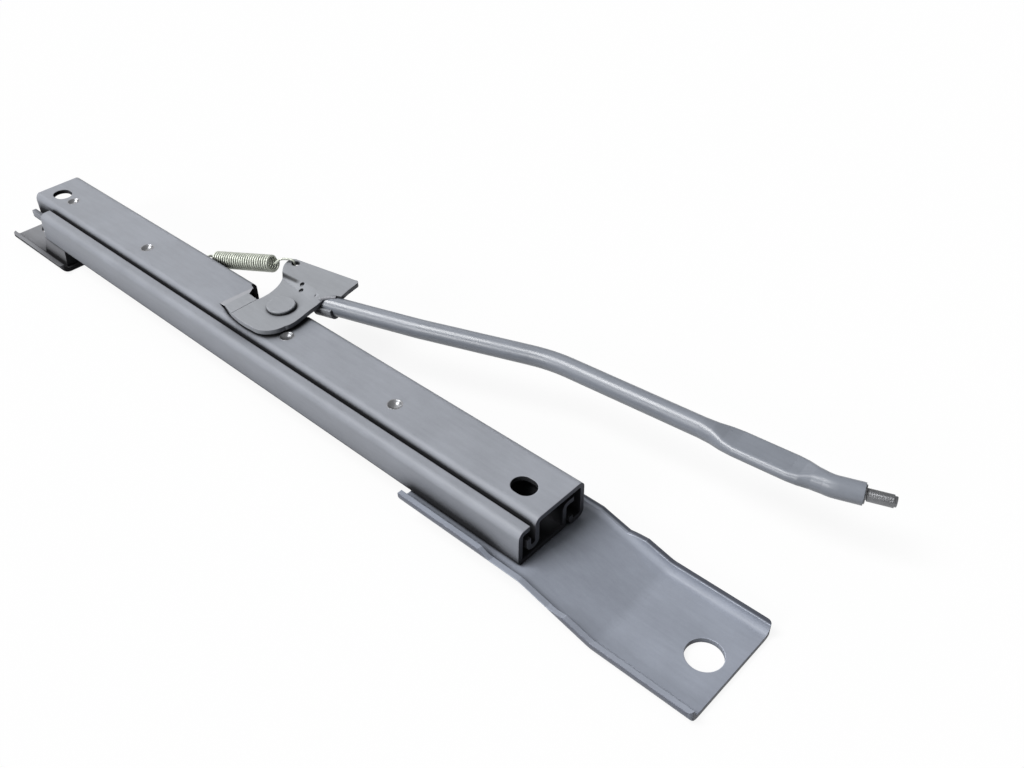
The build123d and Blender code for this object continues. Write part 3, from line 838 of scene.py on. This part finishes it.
class RAIL_OT_spring(Operator):
    """Winds the return spring with its two hooks"""

    bl_idname = "slide_rail.spring"
    bl_label = "Return Spring"

    def execute(self, context):
        settings = context.scene.slide_rail_spring
        radius = (settings.width - settings.wire) / 2
        low, high = (Vector(corner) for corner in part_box("return_spring"))
        rear, front = COIL_REAR, COIL_FRONT
        length = (front - rear).length
        deselect_all()
        bpy.ops.mesh.primitive_circle_add(
            vertices=12,
            radius=settings.wire / 2,
            location=(radius, 0, 0),
            rotation=(math.pi / 2, 0, 0),
        )
        coil = named("spring_wire")
        bpy.ops.object.transform_apply(location=True, rotation=True, scale=True)
        apply_modifier(
            coil,
            "SCREW",
            axis="Z",
            angle=2 * math.pi,
            screw_offset=length / settings.turns,
            iterations=settings.turns,
            steps=TURN_STEPS,
            render_steps=TURN_STEPS,
            use_smooth_shade=True,
        )
        edit(coil, close_ends, outward)
        frame_at = aimed(rear, front)
        place(coil, frame_at)
        start = frame_at @ Vector((radius, 0, 0))
        finish = frame_at @ Vector((radius, 0, length))
        along = (front - rear).normalized()
        anchor_x = low.x + settings.wire / 2
        wall = low.y + settings.wire
        eye_low = Vector((high.x - settings.wire / 2, high.y - settings.wire / 2, EYE_UNDERSIDE))
        peak = high.z - settings.wire / 2
        rear_hook = bent_wire(
            "spring_rear_hook",
            [
                start,
                (start + rear) / 2 - along * 0.6 * MM,
                rear - along * 0.8 * MM,
                rear - along * 2.0 * MM,
                *(Vector((anchor_x, y, ANCHOR_HEIGHT)) for y in (*ANCHOR_YS, wall)),
            ],
            settings.wire,
        )
        front_hook = bent_wire(
            "spring_front_hook",
            [
                finish,
                (finish + front) / 2 + along * 0.4 * MM,
                front + along * 1.2 * MM,
                front + along * 2.4 * MM + Vector((0, 0, 0.8 * MM)),
                Vector((front.x + 4.4 * MM, front.y + 2.0 * MM, peak)),
                Vector((eye_low.x - 3.0 * MM, eye_low.y - 1.4 * MM, peak - 0.1 * MM)),
                Vector((eye_low.x, eye_low.y, peak - 0.4 * MM)),
                Vector((eye_low.x, eye_low.y, eye_low.z + 1.4 * MM)),
                eye_low,
            ],
            settings.wire,
        )
        choose(coil, rear_hook, front_hook)
        bpy.ops.object.join()
        spring = named("spring_wire")
        bpy.ops.object.shade_smooth_by_angle(angle=math.radians(50))
        coat(spring, plated_wire("spring_zinc", tuple(context.scene.slide_rail_finish.zinc_colour)))
        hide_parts("return_spring")
        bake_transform(spring)
        return {"FINISHED"}


class RAIL_OT_weld(Operator):
    """Lays the rippled weld bead that joins the tube to the lever"""

    bl_idname = "slide_rail.weld"
    bl_label = "Weld Bead"

    def execute(self, context):
        low, high = (Vector(corner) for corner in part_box("saddle_weld"))
        size = high - low
        points = [low + size * Vector(shares) for shares in BEAD_PATH]
        bead = bent_wire("weld_bead", points, min(size) * BEAD_SHARE)
        ripple_bead(bead)
        bpy.ops.object.shade_smooth_by_angle(angle=math.radians(70))
        coat(bead, bpy.data.materials["lever_paint"])
        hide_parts("saddle_weld")
        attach(bead, "lever")
        return {"FINISHED"}


def ripple_bead(bead):
    """Swells every other ring of the bead, as a weld's ripples do, then rounds it."""
    choose(bead)
    bpy.ops.object.mode_set(mode="EDIT")
    bpy.ops.mesh.select_all(action="DESELECT")
    bpy.ops.object.mode_set(mode="OBJECT")
    for vertex in bead.data.vertices:
        vertex.select = (vertex.index // BEAD_RING) % 2 == 0
    bpy.ops.object.mode_set(mode="EDIT")
    bpy.ops.transform.shrink_fatten(value=-BEAD_RIPPLE)
    bpy.ops.object.mode_set(mode="OBJECT")
    apply_modifier(bead, "SUBSURF", levels=1, render_levels=1)


class RAIL_OT_toe(Operator):
    """Draws the thin toe where the lever's ramp runs out on the rail"""

    bl_idname = "slide_rail.toe"
    bl_label = "Ramp Toe"

    def execute(self, context):
        deselect_all()
        bpy.ops.mesh.primitive_plane_add(size=1.0, location=(0, 0, 0))
        toe = named("ramp_toe")
        spots = [(*spot, RAIL_TOP + TOE_LIFT) for spot in TOE_ON_RAIL]
        spots += [(*spot, RAIL_TOP + TOE_RISE) for spot in TOE_ON_RAMP]
        around = [vertex for polygon in toe.data.polygons for vertex in polygon.vertices]
        for vertex, spot in zip(around, spots):
            toe.data.vertices[vertex].co = spot
        edit(toe, thicken_toe, outward)
        coat(toe, bpy.data.materials["lever_paint"])
        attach(toe, "lever")
        return {"FINISHED"}


def thicken_toe():
    """Gives the toe its thickness and cuts it finer, so that its edge can be rounded."""
    bpy.ops.mesh.extrude_region_move(TRANSFORM_OT_translate={"value": (0, 0, -TOE_THICKNESS)})
    bpy.ops.mesh.select_all(action="SELECT")
    bpy.ops.mesh.normals_make_consistent(inside=False)
    bpy.ops.mesh.bevel(offset=TOE_ROUNDING, segments=1, affect="EDGES")
    bpy.ops.mesh.select_all(action="SELECT")


class RAIL_OT_stops(Operator):
    """Presses the bright bowls of the roller stops in the upper rail's top"""

    bl_idname = "slide_rail.stops"
    bl_label = "Stop Bowls"

    def execute(self, context):
        deselect_all()
        rim_radius, rim_height = BOWL[0]
        bpy.ops.mesh.primitive_circle_add(vertices=40, radius=rim_radius, location=(0, 0, rim_height))
        bowl = named("stop_bowl_1")
        bpy.ops.object.transform_apply(location=True, rotation=True, scale=True)
        edit(bowl, draw_bowl, outward)
        bpy.ops.object.shade_smooth_by_angle(angle=math.radians(60))
        coat(bowl, bpy.data.materials["bowl_steel"])
        bowls = [bowl] + [copied(bowl, f"stop_bowl_{i}") for i in range(2, len(STOP_XS) + 1)]
        for piece, x in zip(bowls, STOP_XS):
            place(piece, Matrix.Translation((x, STOP_Y, RAIL_TOP)))
            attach(piece, "upper")
        return {"FINISHED"}


def draw_bowl():
    """Draws the rim's ring inwards and down along the bowl's section, and closes it."""
    for (radius, height), (next_radius, next_height) in zip(BOWL, BOWL[1:]):
        bpy.ops.mesh.extrude_edges_move()
        ratio = next_radius / radius
        bpy.ops.transform.resize(value=(ratio, ratio, 1.0))
        bpy.ops.transform.translate(value=(0, 0, next_height - height))
    bpy.ops.mesh.merge(type="CENTER")
    bpy.ops.mesh.select_all(action="SELECT")


def copied(piece, name):
    """A copy of a piece with its own mesh."""
    choose(piece)
    bpy.ops.object.duplicate(linked=False)
    return named(name)


class RAIL_OT_stud(Operator):
    """Cuts the thread of the handle's stud"""

    bl_idname = "slide_rail.stud"
    bl_label = "Handle Stud"

    def execute(self, context):
        settings = context.scene.slide_rail_stud
        mount = [m for m in frame["record"]["mounts"] if m["name"] == "knob_stud"][0]
        ahead = Vector(mount["axis"]).normalized()
        length = mount["dims"]["length_mm"] * MM
        root = Vector(mount["pos_m"]) - ahead * length / 2
        outer = settings.width / 2
        depth = settings.pitch * THREAD_DEPTH
        deselect_all()
        bpy.ops.mesh.primitive_cylinder_add(
            vertices=32,
            radius=outer - depth,
            depth=length + STUD_BURIED,
            location=(0, 0, length / 2 - STUD_BURIED / 2),
        )
        stud = named("stud_thread")
        edit(stud, lambda: bevel_end(stud, depth * CHAMFER_SHARE))
        deselect_all()
        bpy.ops.mesh.primitive_circle_add(
            vertices=3,
            radius=depth * RIDGE_SHARE,
            location=(outer - depth, 0, THREAD_START),
            rotation=(math.pi / 2, 0, 0),
        )
        ridge = named("thread_ridge")
        bpy.ops.transform.rotate(value=math.pi / 2, orient_axis="Y", center_override=tuple(ridge.location))
        bpy.ops.object.transform_apply(location=True, rotation=True, scale=True)
        reach = max(vertex.co.x for vertex in ridge.data.vertices)
        place(ridge, Matrix.Translation((outer - reach, 0, 0)))
        turns = int((length - THREAD_BARE) / settings.pitch)
        apply_modifier(
            ridge,
            "SCREW",
            axis="Z",
            angle=2 * math.pi,
            screw_offset=settings.pitch,
            iterations=turns,
            steps=TURN_STEPS,
            render_steps=TURN_STEPS,
        )
        edit(ridge, close_ends, outward)
        choose(stud, ridge)
        bpy.ops.object.join()
        stud = named("stud_thread")
        place(stud, aimed(root, root + ahead))
        bpy.ops.object.shade_smooth_by_angle(angle=math.radians(35))
        coat(stud, bpy.data.materials["turned_steel"])
        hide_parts("handle_stud")
        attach(stud, "lever")
        return {"FINISHED"}


def bevel_end(stud, chamfer):
    """Chamfers the stud's free end."""
    bpy.ops.mesh.select_all(action="DESELECT")
    bpy.ops.object.mode_set(mode="OBJECT")
    top = max(vertex.co.z for vertex in stud.data.vertices)
    for edge in stud.data.edges:
        edge.select = all(stud.data.vertices[v].co.z > top - 0.00001 for v in edge.vertices)
    bpy.ops.object.mode_set(mode="EDIT")
    bpy.ops.mesh.bevel(offset=chamfer, segments=2, affect="EDGES")


class RAIL_OT_studio(Operator):
    """Sets up the floor, the lamps and the camera"""

    bl_idname = "slide_rail.studio"
    bl_label = "Studio"

    def execute(self, context):
        settings = context.scene.slide_rail_studio
        deselect_all()
        bpy.ops.mesh.primitive_plane_add(size=FLOOR_SIZE, location=(0, 0, FLOOR_HEIGHT))
        floor = named("studio_floor")
        floor.data.materials.append(floor_material())
        room_light(context.scene, settings.fill)
        for name, direction, share, softness in LAMPS:
            sun(name, direction, settings.key * share, softness)
        add_camera(context.scene, settings)
        context.scene.view_settings.view_transform = "Standard"
        return {"FINISHED"}


def floor_material():
    """White to the camera and in reflections, grey to the light that bounces."""
    material = bpy.data.materials.new("studio_floor")
    material.use_nodes = True
    tree = material.node_tree
    shader = tree.nodes["Principled BSDF"]
    shader.inputs["Base Color"].default_value = (0.20, 0.20, 0.21, 1.0)
    shader.inputs["Roughness"].default_value = 0.9
    shader.inputs["Specular IOR Level"].default_value = 0.0
    path = tree.nodes.new("ShaderNodeLightPath")
    seen = plus(tree, path.outputs["Is Camera Ray"], path.outputs["Is Glossy Ray"])
    seen = plus(tree, seen, path.outputs["Is Transmission Ray"])
    white = tree.nodes.new("ShaderNodeEmission")
    white.inputs["Color"].default_value = (1.0, 1.0, 1.0, 1.0)
    white.inputs["Strength"].default_value = 1.0
    lit = tree.nodes.new("ShaderNodeBsdfDiffuse")
    lit.inputs["Color"].default_value = (0.97, 0.97, 0.97, 1.0)
    shown = tree.nodes.new("ShaderNodeMixShader")
    shown.inputs["Fac"].default_value = FLOOR_GLOW
    tree.links.new(lit.outputs["BSDF"], shown.inputs[1])
    tree.links.new(white.outputs["Emission"], shown.inputs[2])
    both = tree.nodes.new("ShaderNodeMixShader")
    tree.links.new(seen, both.inputs["Fac"])
    tree.links.new(shader.outputs["BSDF"], both.inputs[1])
    tree.links.new(shown.outputs["Shader"], both.inputs[2])
    tree.links.new(both.outputs["Shader"], tree.nodes["Material Output"].inputs["Surface"])
    return material


def room_light(scene, strength):
    """Even light from all round; the camera sees it as white, and gloss sees it pale."""
    world = bpy.data.worlds.new("studio_room")
    scene.world = world
    world.use_nodes = True
    tree = world.node_tree
    background = tree.nodes["Background"]
    background.inputs["Color"].default_value = (1.0, 1.0, 1.0, 1.0)
    path = tree.nodes.new("ShaderNodeLightPath")
    shiny = plus(tree, path.outputs["Is Glossy Ray"], path.outputs["Is Transmission Ray"])
    pale = ranged(tree, shiny, 0.0, 1.0, strength, ROOM_IN_GLOSS)
    white = math_node(tree, "MAXIMUM", path.outputs["Is Camera Ray"], pale)
    tree.links.new(white, background.inputs["Strength"])


def sun(name, direction, strength, softness):
    """Soft lamp far away in a direction."""
    deselect_all()
    towards = Vector(direction).normalized()
    bpy.ops.object.light_add(type="SUN", location=towards * 2)
    lamp = named(name)
    lamp.data.energy = strength
    lamp.data.angle = math.radians(softness)
    lamp.rotation_euler = towards.to_track_quat("Z", "Y").to_euler()


def add_camera(scene, settings):
    """Camera at the photograph's angle."""
    around, up = settings.azimuth, settings.elevation
    back = Vector((math.cos(up) * math.cos(around), -math.cos(up) * math.sin(around), math.sin(up)))
    right = (-back).cross(Vector((0, 0, 1))).normalized()
    down = (-back).cross(right)
    across = right * math.cos(settings.roll) + down * math.sin(settings.roll)
    upright = right * math.sin(settings.roll) - down * math.cos(settings.roll)
    deselect_all()
    bpy.ops.object.camera_add()
    camera = named("photo_camera")
    turn = Matrix((across, upright, back)).transposed().to_4x4()
    camera.matrix_world = Matrix.Translation(CAMERA_PLACE) @ turn
    camera.data.sensor_width = 36.0
    camera.data.lens = settings.lens
    camera.data.shift_x, camera.data.shift_y = CAMERA_SHIFT
    camera.data.clip_start = 0.01
    scene.camera = camera


class RAIL_PT_panel(Panel):
    """Slide rail steps and settings in the sidebar"""

    bl_idname = "RAIL_PT_panel"
    bl_label = "Slide Rail"
    bl_space_type = "VIEW_3D"
    bl_region_type = "UI"
    bl_category = "Slide Rail"

    def draw(self, context):
        for operator, settings in STEPS:
            self.layout.operator(operator.bl_idname)
            if settings:
                group = getattr(context.scene, settings)
                for key in group.bl_rna.properties.keys():
                    if key not in ("rna_type", "name"):
                        self.layout.prop(group, key)


STEPS = (
    (RAIL_OT_finishes, "slide_rail_finish"),
    (RAIL_OT_spring, "slide_rail_spring"),
    (RAIL_OT_weld, None),
    (RAIL_OT_toe, None),
    (RAIL_OT_stops, None),
    (RAIL_OT_stud, "slide_rail_stud"),
    (RAIL_OT_studio, "slide_rail_studio"),
)

SETTINGS = {
    "slide_rail_finish": RailFinishSettings,
    "slide_rail_spring": ReturnSpringSettings,
    "slide_rail_stud": HandleStudSettings,
    "slide_rail_studio": RailStudioSettings,
}


def register():
    """Registers the settings, the operators and the panel."""
    for name, group in SETTINGS.items():
        bpy.utils.register_class(group)
        setattr(bpy.types.Scene, name, PointerProperty(type=group))
    for operator, _ in STEPS:
        bpy.utils.register_class(operator)
    bpy.utils.register_class(RAIL_PT_panel)


def unregister():
    """Takes back what register did."""
    bpy.utils.unregister_class(RAIL_PT_panel)
    for operator, _ in reversed(STEPS):
        bpy.utils.unregister_class(operator)
    for name, group in reversed(SETTINGS.items()):
        delattr(bpy.types.Scene, name)
        bpy.utils.unregister_class(group)


def main():
    """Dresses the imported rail."""
    register()
    bpy.ops.slide_rail.finishes()
    bpy.ops.slide_rail.spring()
    bpy.ops.slide_rail.weld()
    bpy.ops.slide_rail.toe()
    bpy.ops.slide_rail.stops()
    bpy.ops.slide_rail.stud()
    bpy.ops.slide_rail.studio()


if __name__ == "__main__":
    main()
